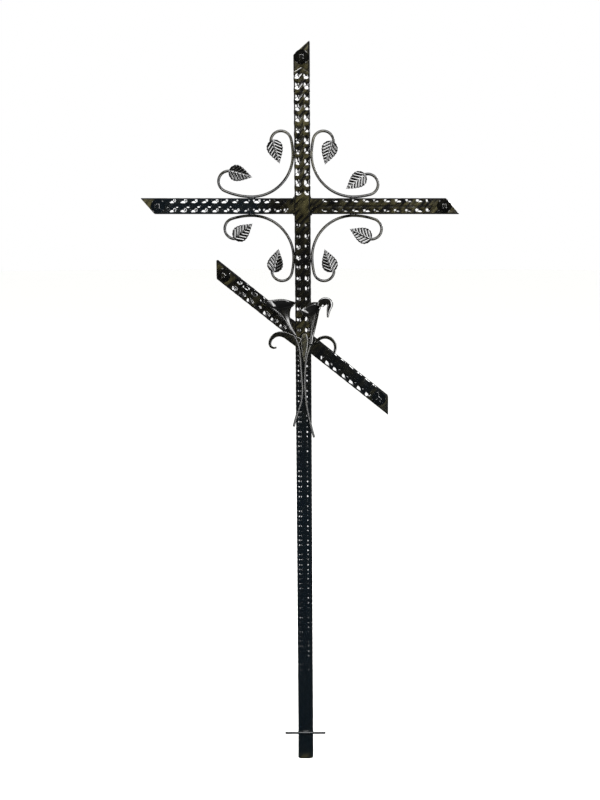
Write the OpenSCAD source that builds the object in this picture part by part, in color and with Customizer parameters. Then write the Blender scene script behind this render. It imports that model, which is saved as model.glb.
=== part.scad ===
// Wrought iron grave cross: square tube with mitred ends, pyramid studs, C-scrolls with
// birch leaves in the four corners, and two sheet-metal callas over the slanting footrest.
// The origin is the middle of the foot's end face. +Z is up, -Y is the front, +X is right.

/* [Bars] */
// Side of the square tube
bar_w = 40; // [32:1:50]
// Rounding along the tube's long edges
edge_r = 3; // [1:0.5:5]
// Height of the post, from the foot to the tip
post_h = 1895; // [1600:10:2300]
// Height of the crossbar's middle
cross_z = 1490; // [1250:10:1650]
// Length of the left arm, from the post's middle to its tip
arm_left = 409; // [330:5:500]
// Length of the right arm, from the post's middle to its tip
arm_right = 398; // [330:5:500]
// Angle of the mitred ends
mitre = 49; // [35:1:60]
// Rounding of the foot's lower edges
foot_r = 5; // [2:0.5:10]

/* [Footrest] */
// Side of the footrest's square tube, flush with the post in front
rest_w = 37.5; // [30:0.5:40]
// Height at which the slanting footrest crosses the post
rest_z = 1154; // [950:2:1190]
// Slope of the footrest, down to the right
rest_slope = 38.7; // [30:0.1:45]
// Reach of the footrest to each side of the post's middle
rest_reach = 220; // [180:5:270]

/* [Studs] */
// Diameter of a stud
stud_d = 36; // [26:1:38]
// Height of a stud's rim
stud_rim = 3; // [2:0.5:5]
// Height of a stud's pyramid above its rim
stud_rise = 8; // [5:0.5:12]
// Distance from the post's tip to its stud
stud_top_in = 40; // [36:1:60]
// Distance from an arm's tip to its stud, on the left and on the right
stud_arm_in = [44, 39]; // [36:1:60]
// Distance from the footrest's cut ends to their studs, along X, upper and lower
stud_rest_in = [18, 24]; // [16:1:40]

/* [Scrolls] */
// Diameter of the scrolls' round rod
scroll_d = 7; // [5:0.5:9]
// Radius of a scroll's wide middle bend
belly_r = 105.5; // [90:0.5:120]
// Radius of the slack bend between the belly and the end curl
shoulder_r = 168; // [140:1:200]
// Radius of a scroll's end curl
curl_r = 26; // [20:0.5:32]

/* [Leaves] */
// Length of a birch leaf
leaf_l = 62; // [48:1:72]
// Width of a birch leaf
leaf_w = 42; // [32:1:50]
// Thickness of the leaf sheet
leaf_t = 1.6; // [1:0.1:2.5]
// Radius to which a leaf is dished across its width
leaf_dish = 34; // [28:1:80]
// Teeth along each side of a leaf
leaf_teeth = 8; // [5:1:10]
// Depth of a leaf's teeth
tooth_deep = 1.8; // [1:0.1:2.5]
// How far a leaf's base laps over the end of its rod
leaf_lap = 4; // [2:0.5:8]
// How far a leaf beside the post sits to the inner side of its rod
leaf_aside = 4; // [0:0.5:6]

/* [Callas] */
// Thickness of the flower sheet
calla_t = 2; // [1.5:0.1:3]
// Depth of a flower from front to back, as a share of its width
calla_deep = 0.62; // [0.4:0.01:0.9]
// Diameter of the flower stems
stem_d = 6; // [5:0.5:8]
// Thickness of the curled leaves and of the bract
blade_t = 3; // [2:0.5:5]

/* [Ground rod] */
// Diameter of the rod across the foot
ground_rod_d = 7; // [6:0.5:12]
// Length of the rod across the foot
ground_rod_l = 110; // [80:5:160]
// Height of the rod across the foot
ground_rod_z = 78; // [50:1:120]

/* [Fits] */
// Gap that a weld bead fills between a round rod and its seat
weld_gap = 0.2; // [0.1:0.05:0.3]

/* [Hidden] */
$fn = 48;

iron = "#1c1d1b";
rubbed = "#4a4a38";
gloss = "#0c0c0d";

face = bar_w / 2;                      // from a bar's middle to each of its faces
mitre_run = bar_w / tan(mitre);        // length that a mitre takes off one side
rod_y = -(face + weld_gap + stem_d / 2);

// Corners of the cross: name, side, level, then shoulder turns, curl turns and leaf swings,
// each for the end beside the post and the end beside the arm
CORNERS = [["ul", -1,  1, [13, 24], [166, 165], [17, 15]],
           ["ur",  1,  1, [13, 15], [172, 186], [17, 37]],
           ["ll", -1, -1, [14, 18], [165, 165], [13, 39]],
           ["lr",  1, -1, [14, 19], [167, 168], [19, 25]]];

// A route in the plane is a start [x, z, heading] and bends of [length, turn to the left]
function bend_r(bend) = bend[0] / (bend[1] * PI / 180);
function left_of(h) = [-sin(h), cos(h)];
function ahead_of(h) = [cos(h), sin(h)];
function after(at, bend) = bend[1] == 0
    ? concat([at[0], at[1]] + bend[0] * ahead_of(at[2]), [at[2]])
    : concat([at[0], at[1]] + bend_r(bend) * (left_of(at[2]) - left_of(at[2] + bend[1])),
             [at[2] + bend[1]]);
function stops(at, bends, i = 0) =
    i == len(bends) ? [at] : concat([at], stops(after(at, bends[i]), bends, i + 1));
function total(bends, i = 0) = i == len(bends) ? 0 : bends[i][0] + total(bends, i + 1);
function along(at, bends, s, i = 0) =
    i == len(bends) - 1 || s <= bends[i][0]
    ? after(at, [s, bends[i][1] * s / bends[i][0]])
    : along(after(at, bends[i]), bends, s - bends[i][0], i + 1);

// Upright drawings: a sketch in XY stands up in the XZ plane, its middle at depth y
module upright(y = 0) translate([0, y, 0]) rotate([90, 0, 0]) children();

// Oval ring across a route, w wide in the plane and t thick through it
ROD_SIDES = 12;
function oval_ring(w, t, p) = [for (k = [0 : ROD_SIDES - 1])
    let (v = 360 * k / ROD_SIDES, side = w / 2 * cos(v) * left_of(p[2]))
    [p[0] + side[0], p[1] + side[1], t / 2 * sin(v)]];

// Rings of a round rod, one at every 15 degrees of each bend or closer
function bend_rings(d, at, bend, first) = let (n = max(4, ceil(abs(bend[1]) / 15)))
    [for (k = [first : n]) oval_ring(d, d, after(at, bend * k / n))];
function rod_rings(d, at, bends) = let (places = stops(at, bends))
    [for (i = [0 : len(bends) - 1]) each bend_rings(d, places[i], bends[i], i == 0 ? 0 : 1)];

// Rings of a forged blade whose width goes from w[0] through w[1] to w[2]
BLADE_STEPS = 22;
function blade_w(w, q) = q < 0.5 ? w[0] + (w[1] - w[0]) * q * 2 : w[1] + (w[2] - w[1]) * (q * 2 - 1);
function blade_rings(at, bends, w, t) = [for (i = [0 : BLADE_STEPS]) let (q = i / BLADE_STEPS)
    oval_ring(blade_w(w, q), t, along(at, bends, q * total(bends)))];

// Closed skin over a stack of rings with equal point counts
module skin(rings) {
    n = len(rings[0]);
    last = len(rings) - 1;
    polyhedron(
        points = [for (r = rings) each r],
        faces = concat(
            [[for (k = [0 : n - 1]) k]],
            [for (j = [0 : last - 1], k = [0 : n - 1]) each
                [[j * n + k, (j + 1) * n + k, (j + 1) * n + (k + 1) % n],
                 [j * n + k, (j + 1) * n + (k + 1) % n, j * n + (k + 1) % n]]],
            [[for (k = [n - 1 : -1 : 0]) last * n + k]]),
        convexity = 6);
}

// Square section with rounded corners
module tube_section(w) {
    square([w, w - 2 * edge_r], center = true);
    square([w - 2 * edge_r, w], center = true);
    for (x = [-1, 1], y = [-1, 1])
        translate([x, y] * (w / 2 - edge_r)) circle(r = edge_r);
}

// The post's outline from the front or the side, with a rounded foot; top is [left, right] height
module post_outline(top) {
    polygon([[-face, foot_r], [face, foot_r], [face, top[1]], [-face, top[0]]]);
    translate([foot_r - face, 0]) square([bar_w - 2 * foot_r, foot_r]);
    for (x = [-1, 1]) translate([x * (face - foot_r), foot_r]) circle(r = foot_r);
}

module post() {
    color(iron) intersection() {
        linear_extrude(post_h) tube_section(bar_w);
        upright(bar_w) linear_extrude(2 * bar_w) post_outline([post_h - mitre_run, post_h]);
        rotate([0, 0, 90]) upright(bar_w) linear_extrude(2 * bar_w) post_outline([post_h, post_h]);
    }
}

// Tube of side w lying along X from x0 to x1, its front flush with the post's
module level_bar(w, x0, x1) {
    translate([x0, w / 2 - face, 0]) rotate([90, 0, 90]) linear_extrude(x1 - x0) tube_section(w);
}

module crossbar_left() {
    color(iron) translate([0, 0, cross_z]) intersection() {
        level_bar(bar_w, -arm_left, -face);
        upright(bar_w) linear_extrude(2 * bar_w)
            polygon([[-face, -face], [-face, face], [-arm_left, face],
                     [-arm_left + mitre_run, -face]]);
    }
}

module crossbar_right() {
    color(iron) translate([0, 0, cross_z]) intersection() {
        level_bar(bar_w, face, arm_right);
        upright(bar_w) linear_extrude(2 * bar_w)
            polygon([[face, -face], [arm_right, -face], [arm_right - mitre_run, face],
                     [face, face]]);
    }
}

// Half of the footrest: a slanting tube cut upright at the post and at its outer end
module footrest(side) {
    reach = rest_reach / cos(rest_slope) + bar_w;
    color(iron) translate([0, 0, rest_z]) intersection() {
        rotate([0, rest_slope, 0]) level_bar(rest_w, -reach, reach);
        translate([side > 0 ? face : -rest_reach, -bar_w, -rest_reach - bar_w])
            cube([rest_reach - face, 2 * bar_w, 2 * (rest_reach + bar_w)]);
    }
}

// Ridge with its crest along X: two crossed ridges make a pyramid, its point cut flat
STUD_CREST = 1.2;
module ridge() {
    rotate([90, 0, 90]) linear_extrude(bar_w, center = true)
        polygon([[-face, 0], [face, 0], [face, stud_rim], [0, stud_rim + stud_rise * STUD_CREST],
                 [-face, stud_rim]]);
}

// Round stud with a four-sided top, its sides facing along and across the bar
module stud(x, z, turn) {
    color(gloss) translate([x, -face, z]) rotate([90, turn, 0]) intersection() {
        cylinder(d = stud_d, h = stud_rim + stud_rise);
        ridge();
        rotate([0, 0, 90]) ridge();
    }
}

// Quarter of the cross: the right upper corner, mirrored into the others
module corner(c) {
    translate([0, 0, cross_z]) mirror([c[1] < 0 ? 1 : 0, 0, 0])
        mirror([0, 0, c[2] < 0 ? 1 : 0]) children();
}

// Middle of a scroll's belly, and the start of its run up the post
belly_at = face + weld_gap + scroll_d / 2 + belly_r;
post_start = [belly_at - belly_r, belly_at, 90];
function shoulder(turn) = [shoulder_r * turn * PI / 180, -turn];
function curl(turn) = [curl_r * turn * PI / 180, -turn];
function scroll_bends(c) = [curl(c[4][1]), shoulder(c[3][1]), [belly_r * PI / 2, -90],
                            shoulder(c[3][0]), curl(c[4][0])];

// End of a scroll's rod at the post (0) or the arm (1), seen from its own side of the corner
function scroll_end(c, at_arm) =
    after(after(post_start, shoulder(c[3][at_arm])), curl(c[4][at_arm]));
function mirrored(p) = [p[1], p[0], 90 - p[2]];

module scroll(c) {
    start = mirrored(scroll_end(c, 1));
    color(iron) corner(c) upright()
        skin(rod_rings(scroll_d, [start[0], start[1], start[2] + 180], scroll_bends(c)));
}

// Half-width of a birch leaf at share t of its length, widest at a third
function leaf_half(t) = leaf_w / 2 * sin(180 * pow(t, 0.62));
function leaf_side(sign) = [for (i = [0 : leaf_teeth - 1], k = [0, 1])
    let (t = (i + (k == 0 ? 0.8 : 1)) / (leaf_teeth + 0.4))
    [leaf_l * t, sign * (leaf_half(t) - k * tooth_deep * (1 - 0.5 * t))]];
function turned(list) = [for (i = [len(list) - 1 : -1 : 0]) list[i]];

// Leaf along +X in the XY plane, dished towards +Z, its back touching Z = 0
module leaf() {
    dish_r = leaf_dish + leaf_t;
    intersection() {
        linear_extrude(dish_r)
            polygon(concat([[0, 0]], leaf_side(-1), [[leaf_l, 0]], turned(leaf_side(1))));
        translate([-1, 0, dish_r]) rotate([0, 90, 0]) difference() {
            cylinder(r = dish_r, h = leaf_l + 2);
            translate([0, 0, -1]) cylinder(r = leaf_dish, h = leaf_l + 4);
        }
    }
}

// Leaf on a scroll's end: its back lies on the rod's front, and its tip points to the post
module scroll_leaf(c, at_arm) {
    rod_end = scroll_end(c, at_arm);
    swing = -90 - c[5][at_arm];
    aside = at_arm == 0 ? leaf_aside : 0;
    lap = leaf_lap * ahead_of(rod_end[2]) + [aside, 0];
    color(rubbed) corner(c) upright(-(scroll_d / 2 + weld_gap))
        mirror([at_arm, -at_arm, 0])
            translate([rod_end[0] - lap[0], rod_end[1] - lap[1], 0]) rotate([0, 0, swing]) leaf();
}

// Forged blade lying against the front of the bars
module blade(at, bends, w) {
    color(rubbed) upright(-(face + weld_gap + blade_t / 2)) skin(blade_rings(at, bends, w, blade_t));
}

// Stem routes, from the cut lower end up to the flower; their heights are from the footrest
stem_left_at = [-25.5, rest_z - 230, 77];
stem_left_bends = [[48, -7], [68, 25], [78, -2], [48, 28]];
stem_right_at = [27.5, rest_z - 259, 106];
stem_right_bends = [[70, -5], [70, -10], [50, -6], [56, -17]];

module stem(at, bends) {
    color(iron) upright(rod_y) skin(rod_rings(stem_d, at, bends));
}

// Curled leaves and the bract between the stems
curl_left_at = [-27.5, rest_z - 1, 149];
curl_left_bends = [[16, 2], [16, 24], [42, 92], [24, 130]];
curl_right_at = [31, rest_z - 11, 48];
curl_right_bends = [[12, -8], [78, -168]];
bract_at = [4, rest_z + 12, -91];
bract_bends = [[74, 0]];

// Flower sheet: the left and right outlines are cubic curves from the stem to the rim
function bezier(p, t) = pow(1 - t, 3) * p[0] + 3 * pow(1 - t, 2) * t * p[1]
                        + 3 * (1 - t) * t * t * p[2] + pow(t, 3) * p[3];
function unit(v) = v / norm(v);
function sheet_at(left, right, shape, t, v) =
    let (dip = shape[0], lift = shape[1], wave = shape[2],
         u = t * (1 - dip * pow((1 - cos(v)) / 2, 1.5) * t),
         a = bezier(left, u),
         b = bezier(right, u),
         half = norm(b - a) / 2,
         ripple = wave * sin(5 * v + 40) * pow(t, 5),
         middle = (a + b) / 2 + (b - a) / 2 * sin(v),
         front = half * calla_deep * (1 - cos(v)))
    [middle[0], middle[1] + lift * pow(t, 3) * (1 + cos(v)) / 2 + ripple, front];
function sheet_normal(left, right, shape, t, v) =
    unit(cross(sheet_at(left, right, shape, t, v + 1) - sheet_at(left, right, shape, t, v - 1),
               sheet_at(left, right, shape, t + 0.01, v) - sheet_at(left, right, shape, t - 0.01, v)));

CALLA_ROUND = 28;
CALLA_RINGS = 10;
function ring(left, right, shape, t, inset) = [for (k = [0 : CALLA_ROUND - 1])
    let (v = -360 * k / CALLA_ROUND)
    sheet_at(left, right, shape, t, v) + inset * sheet_normal(left, right, shape, t, v)];
function calla_rings(left, right, shape) = concat(
    [for (i = [0 : CALLA_RINGS]) ring(left, right, shape, i / CALLA_RINGS, 0)],
    [for (i = [CALLA_RINGS : -1 : 3]) ring(left, right, shape, i / CALLA_RINGS, calla_t)]);

module calla(left, right, shape) {
    color(rubbed) upright(-(face + weld_gap)) skin(calla_rings(left, right, shape));
}

// Outlines' points [x, height above the footrest's middle], from the stem to the rim
calla_left_outline = raised([[-24, 9], [-52, 38], [-74, 84], [-110, 91]]);
calla_left_side = raised([[-16, 9], [-40, 42], [-38, 86], [-13, 89]]);
calla_right_outline = raised([[16, -14], [22, 36], [20, 70], [-20, 69]]);
calla_right_side = raised([[24, -14], [31, 26], [44, 60], [46, 104]]);
function raised(points) = [for (p = points) [p[0], p[1] + rest_z]];

// Tongue in which the right flower's rim rolls over and droops, starting inside its sheet
tongue_root = bezier(calla_right_side, 0.84);
tongue_bends = [[18, -62], [9, -40], [14, -88], [30, 20]];
tongue_half = norm(bezier(calla_right_side, 0.95) - bezier(calla_right_outline, 0.95)) / 2;
module calla_tongue() {
    color(rubbed) upright(-(face + weld_gap + tongue_half * calla_deep))
        skin(blade_rings([tongue_root[0], tongue_root[1], 80], tongue_bends, [12, 8, 3], blade_t));
}

module ground_rod() {
    color(iron) translate([0, -(face + weld_gap + ground_rod_d / 2), ground_rod_z])
        rotate([0, 90, 0]) cylinder(d = ground_rod_d, h = ground_rod_l, center = true);
}

// Stud on the footrest, on the left (-1) or the right (1)
module rest_stud(side) {
    x = side * (rest_reach - stud_rest_in[side > 0 ? 1 : 0]);
    stud(x, rest_z - x * tan(rest_slope), rest_slope);
}

post();
crossbar_left();
crossbar_right();
footrest(-1);  // footrest_upper
footrest(1);  // footrest_lower
stud(0, post_h - stud_top_in, 0);  // stud_top
stud(-arm_left + stud_arm_in[0], cross_z, 0);  // stud_left
stud(arm_right - stud_arm_in[1], cross_z, 0);  // stud_right
rest_stud(-1);  // stud_upper
rest_stud(1);  // stud_lower
for (c = CORNERS) {
    scroll(c);
    scroll_leaf(c, 0);
    scroll_leaf(c, 1);
}
calla(calla_left_outline, calla_left_side, [0.35, 16, 1.5]);  // calla_left
union() {  // calla_right
    calla(calla_right_outline, calla_right_side, [0.3, -2, 1.5]);
    calla_tongue();
}
stem(stem_left_at, stem_left_bends);  // stem_left
stem(stem_right_at, stem_right_bends);  // stem_right
blade(bract_at, bract_bends, [21, 13, 1]);  // bract
blade(curl_left_at, curl_left_bends, [12, 11, 4.5]);  // curl_left
blade(curl_right_at, curl_right_bends, [8, 9, 7]);  // curl_right
ground_rod();
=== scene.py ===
"""Wrought iron grave cross: shapes, metal and lacquer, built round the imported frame."""

import logging
import math
from dataclasses import astuple, dataclass, field
from enum import Enum
from typing import ClassVar

import bmesh
import bpy
import numpy as np
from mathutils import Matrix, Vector, noise


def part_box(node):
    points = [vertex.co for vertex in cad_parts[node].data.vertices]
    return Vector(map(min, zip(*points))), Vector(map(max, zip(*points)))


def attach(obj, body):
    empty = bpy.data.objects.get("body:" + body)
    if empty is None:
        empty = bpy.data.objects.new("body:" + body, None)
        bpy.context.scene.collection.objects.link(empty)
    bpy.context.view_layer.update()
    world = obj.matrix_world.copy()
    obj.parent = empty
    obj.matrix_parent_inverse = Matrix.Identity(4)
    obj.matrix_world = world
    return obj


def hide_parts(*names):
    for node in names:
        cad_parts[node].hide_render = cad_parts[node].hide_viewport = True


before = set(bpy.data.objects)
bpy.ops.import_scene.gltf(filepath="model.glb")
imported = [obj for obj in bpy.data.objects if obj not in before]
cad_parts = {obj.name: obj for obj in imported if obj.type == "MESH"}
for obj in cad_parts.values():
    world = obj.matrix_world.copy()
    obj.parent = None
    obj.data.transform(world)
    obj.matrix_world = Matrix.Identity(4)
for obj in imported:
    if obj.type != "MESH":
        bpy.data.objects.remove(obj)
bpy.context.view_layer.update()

LOG = logging.getLogger("grave_cross")

MM = 0.001  # the shapes are worked out in millimetres and made in metres
BODY = "root"
# Green in these vertex colours is painted reflection: a cool blue cast standing for surroundings
# mirrored in the lacquer
PATINA = "patina"  # vertex colours: red = rubbed olive gold, green = cold blue, blue = dull
REST_SLOPE = 38.7  # degrees by which the footrest falls to the right
ON_FRONT = -20.2  # y of the back of what is welded on the bars' front, with the weld's gap


class Slot(Enum):
    """The record's material slots that the pieces take their finishes from."""

    TUBE = "rolled_tube"
    STUD = "gloss_black"
    ROD = "round_rod"
    SHEET = "forged_sheet"


# ---------------------------------------------------------------- small mathematics


def smooth(low: float, high: float, value: np.ndarray) -> np.ndarray:
    """Ease from 0 at low to 1 at high.

    Args:
        low: Value at which the step starts.
        high: Value at which it is complete.
        value: Values to ease.

    Returns:
        The eased values, from 0 to 1.
    """
    t = np.clip((value - low) / (high - low), 0.0, 1.0)
    return t * t * (3.0 - 2.0 * t)


def bezier(points: np.ndarray, t: np.ndarray) -> np.ndarray:
    """Points on a cubic curve.

    Args:
        points: The four control points, one a row.
        t: Places along the curve, from 0 to 1.

    Returns:
        One point for each place, with the coordinates last.
    """
    t = np.asarray(t, float)[..., None]
    p = [np.asarray(q, float) for q in points]
    start = (1 - t) ** 3 * p[0] + 3 * (1 - t) ** 2 * t * p[1]
    return start + 3 * (1 - t) * t**2 * p[2] + t**3 * p[3]


def turns(count: int) -> list[float]:
    """Angles of evenly spaced points round a ring, in radians."""
    return [2 * math.pi * k / count for k in range(count)]


def box_mm(node: str) -> tuple[Vector, Vector]:
    """Low and high corners of a CAD node's box, in millimetres."""
    low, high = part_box(node)
    return Vector(low) / MM, Vector(high) / MM


@dataclass(frozen=True)
class Layout:
    """Where the cross's main lines lie, in millimetres."""

    face: float  # from the post's middle to its side
    cross_z: float  # height of the crossbar's middle
    rest_z: float  # height of the footrest's middle

    @classmethod
    def read(cls) -> "Layout":
        """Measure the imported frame."""
        post, bar = box_mm("post"), box_mm("crossbar_left")
        upper, lower = box_mm("footrest_upper"), box_mm("footrest_lower")
        return cls(
            (post[1].x - post[0].x) / 2, (bar[0].z + bar[1].z) / 2, (upper[1].z + lower[0].z) / 2
        )


# ---------------------------------------------------------------- finishes


def linear(hex_colour: str) -> tuple[float, float, float, float]:
    """Turn an sRGB hex colour into a linear one.

    Args:
        hex_colour: Colour as "#rrggbb".

    Returns:
        Linear red, green, blue and an alpha of 1.
    """
    values = [int(hex_colour[i : i + 2], 16) / 255 for i in (1, 3, 5)]
    lit = [v / 12.92 if v <= 0.04045 else ((v + 0.055) / 1.055) ** 2.4 for v in values]
    return (lit[0], lit[1], lit[2], 1.0)


def blank_tree(owner: bpy.types.Material | bpy.types.World) -> bpy.types.NodeTree:
    """Give a material or world an empty node tree and return it."""
    owner.use_nodes = True
    owner.node_tree.nodes.clear()
    return owner.node_tree


def add_node(
    tree: bpy.types.NodeTree, kind: str, settings: dict | None = None, feeds: dict | None = None
) -> bpy.types.bpy_prop_collection:
    """Add one shader node with its settings and links.

    Args:
        tree: Node tree that takes the node.
        kind: Blender's name for the node's type, without "ShaderNode".
        settings: Properties or input values, by name or by input number.
        feeds: Sockets to link, by the name or number of the input that takes each.

    Returns:
        The new node's outputs.
    """
    made = tree.nodes.new("ShaderNode" + kind)
    for name, value in (settings or {}).items():
        if isinstance(name, str) and hasattr(made, name):
            setattr(made, name, value)
        else:
            made.inputs[name].default_value = value
    for name, socket in (feeds or {}).items():
        tree.links.new(socket, made.inputs[name])
    return made.outputs


@dataclass(frozen=True)
class LacqueredIron:
    """Iron under black lacquer, dry-brushed with olive-gold patina on its high places.

    The lacquer gives a near-black gloss with a slightly uneven skin, and the patina gives a duller,
    metallic olive where the brush has caught an edge.
    """

    name: str
    ground: str = "#020202"
    # Painted reflection: the blue-black that stands for cool surroundings mirrored in the lacquer
    blue_reflection: str = "#030609"
    brushed: str = "#4e492a"
    roughness: float = 0.12
    brushed_roughness: float = 0.36
    brushed_metal: float = 1.0
    dull_roughness: float = 0.75  # where soot and dust settle, as in a flower's throat
    coat: float = 0.35
    coat_roughness: float = 0.08
    specular: float = 0.5
    ior: float = 1.55
    streak_mm: float = 7.5  # spacing of the brush's hair streaks
    streak_turn: float = math.radians(-48.0)  # how far the streaks lean
    streak_long: tuple[float, float, float] = (4.5, 1.0, 1.0)  # a streak is longer than it is wide
    blotch_mm: float = 22.0  # distance across a patch of better or worse gloss
    skin_mm: float = 7.0  # distance across the lacquer's uneven skin
    skin_deep_mm: float = 0.045
    grain_deep_mm: float = 0.02

    def make(self) -> bpy.types.Material:
        """Build the material.

        Returns:
            The finished material.
        """
        material = bpy.data.materials.new(self.name)
        tree = blank_tree(material)
        place = add_node(tree, "TexCoord")["Object"]
        paint = add_node(tree, "Attribute", {"attribute_name": PATINA})["Color"]
        parts = add_node(tree, "SeparateColor", feeds={"Color": paint})

        # Brush streaks run slantwise, up to the right, a few millimetres apart
        turn = {"vector_type": "TEXTURE", "Rotation": (0.0, self.streak_turn, 0.0)}
        slant = add_node(tree, "Mapping", turn | {"Scale": self.streak_long}, {"Vector": place})
        streak = {"Scale": 1.0 / (self.streak_mm * MM), "Detail": 1.5, "Roughness": 0.5}
        streaks = add_node(tree, "TexNoise", streak, {"Vector": slant["Vector"]})["Fac"]
        patch = {"Scale": 1.0 / (self.blotch_mm * MM), "Detail": 2.0}
        blotch = add_node(tree, "TexNoise", patch, {"Vector": place})["Fac"]
        reach = {"From Min": 0.38, "From Max": 0.66, "To Min": 0.0, "To Max": 1.3}
        hairs = add_node(tree, "MapRange", reach, {"Value": streaks})["Result"]
        times = {"operation": "MULTIPLY", "use_clamp": True}
        caught = add_node(tree, "Math", times, {0: hairs, 1: parts["Red"]})["Value"]

        # The ground goes from warm black to the painted blue reflection, and the brush leaves olive
        # gold on it
        tints = {"data_type": "RGBA", 6: linear(self.ground), 7: linear(self.blue_reflection)}
        ground = add_node(tree, "Mix", tints, {0: parts["Green"]})[2]
        gold = {"data_type": "RGBA", 7: linear(self.brushed)}
        body = add_node(tree, "Mix", gold, {0: caught, 6: ground})[2]
        metal_share = {"operation": "MULTIPLY", 1: self.brushed_metal}
        metal = add_node(tree, "Math", metal_share, {0: caught})["Value"]

        # Gloss varies in blotches, and is lost where the brush caught or the soot lies
        gloss = {"To Min": self.roughness * 0.75, "To Max": self.roughness * 1.35}
        gloss |= {"From Min": 0.3, "From Max": 0.7}
        rough = add_node(tree, "MapRange", gloss, {"Value": blotch})["Result"]
        layers = ((caught, self.brushed_roughness), (parts["Blue"], self.dull_roughness))
        for share, value in layers:
            rough = add_node(tree, "Mix", {"data_type": "FLOAT", 3: value}, {0: share, 2: rough})[0]

        # The lacquer's skin and the brush's grain, both a fraction of a millimetre deep
        skin = {"Scale": 1.0 / (self.skin_mm * MM), "Detail": 2.0}
        height = add_node(tree, "TexNoise", skin, {"Vector": place})["Fac"]
        swell = {"Strength": 1.0, "Distance": self.skin_deep_mm * MM}
        skin_bump = add_node(tree, "Bump", swell, {"Height": height})["Normal"]
        grain = {"Strength": 1.0, "Distance": self.grain_deep_mm * MM}
        bump = add_node(tree, "Bump", grain, {"Height": streaks, "Normal": skin_bump})["Normal"]
        shader = add_node(
            tree,
            "BsdfPrincipled",
            {
                "IOR": self.ior,
                "Specular IOR Level": self.specular,
                "Coat Weight": self.coat,
                "Coat Roughness": self.coat_roughness,
            },
            {"Base Color": body, "Roughness": rough, "Metallic": metal, "Normal": bump},
        )
        add_node(tree, "OutputMaterial", feeds={"Surface": shader["BSDF"]})
        return material


@dataclass(frozen=True)
class StudioPaper:
    """Matt seamless paper: an even white with almost no gloss."""

    name: str = "matt_white_studio_paper"
    colour: str = "#f8f8f6"

    def make(self) -> bpy.types.Material:
        """Build the material.

        Returns:
            The finished material.
        """
        material = bpy.data.materials.new(self.name)
        tree = blank_tree(material)
        look = {"Base Color": linear(self.colour), "Roughness": 0.95, "Specular IOR Level": 0.1}
        shader = add_node(tree, "BsdfPrincipled", look)
        add_node(tree, "OutputMaterial", feeds={"Surface": shader["BSDF"]})
        return material


FINISHES = {
    # Cold-rolled tube with pressed dents, lacquered gloss black
    Slot.TUBE: LacqueredIron("black_lacquered_rolled_tube"),
    # Forged studs, lacquered thickly: the deepest gloss and hardly any patina
    Slot.STUD: LacqueredIron(
        "gloss_black_forged_stud", brushed="#24231a", roughness=0.1, brushed_roughness=0.2,
        coat=0.6, skin_deep_mm=0.02,
    ),
    # Round rod, lacquered: a soft olive sheen along its crown
    Slot.ROD: LacqueredIron(
        "black_lacquered_round_rod", brushed="#5c5a48", roughness=0.15, specular=0.36,
        coat=0.1, streak_mm=12.0, skin_deep_mm=0.0, grain_deep_mm=0.0,
    ),
    # Sheet leaves and flowers, hammered and lacquered: near black, olive on the raised veins
    Slot.SHEET: LacqueredIron(
        "black_lacquered_hammered_sheet", brushed="#4c4930", roughness=0.13,
        brushed_roughness=0.34, streak_mm=3.0, skin_mm=5.0, skin_deep_mm=0.03,
    ),
}
# Painted shade: a dull, barely reflective black put inside the flowers and along the tubes'
# corners, so that they read dark and hardly shine
PAINTED_SHADE = LacqueredIron(
    "dull_black_painted_shade", brushed="#060605", roughness=0.85, brushed_metal=0.0,
    coat=0.0, specular=0.06, skin_mm=4.0,
)


# ---------------------------------------------------------------- patina


@dataclass(frozen=True)
class BrushedZone:
    """A place where the patina brush was drawn over the lacquer."""

    x: float
    z: float
    reach_x: float
    reach_z: float
    strength: float

    def amount(self, points: np.ndarray) -> np.ndarray:
        """How strongly each point was brushed, from 0 to the zone's strength."""
        dx, dz = (points[:, 0] - self.x) / self.reach_x, (points[:, 2] - self.z) / self.reach_z
        return self.strength * np.exp(-(dx**2 + dz**2))


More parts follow.
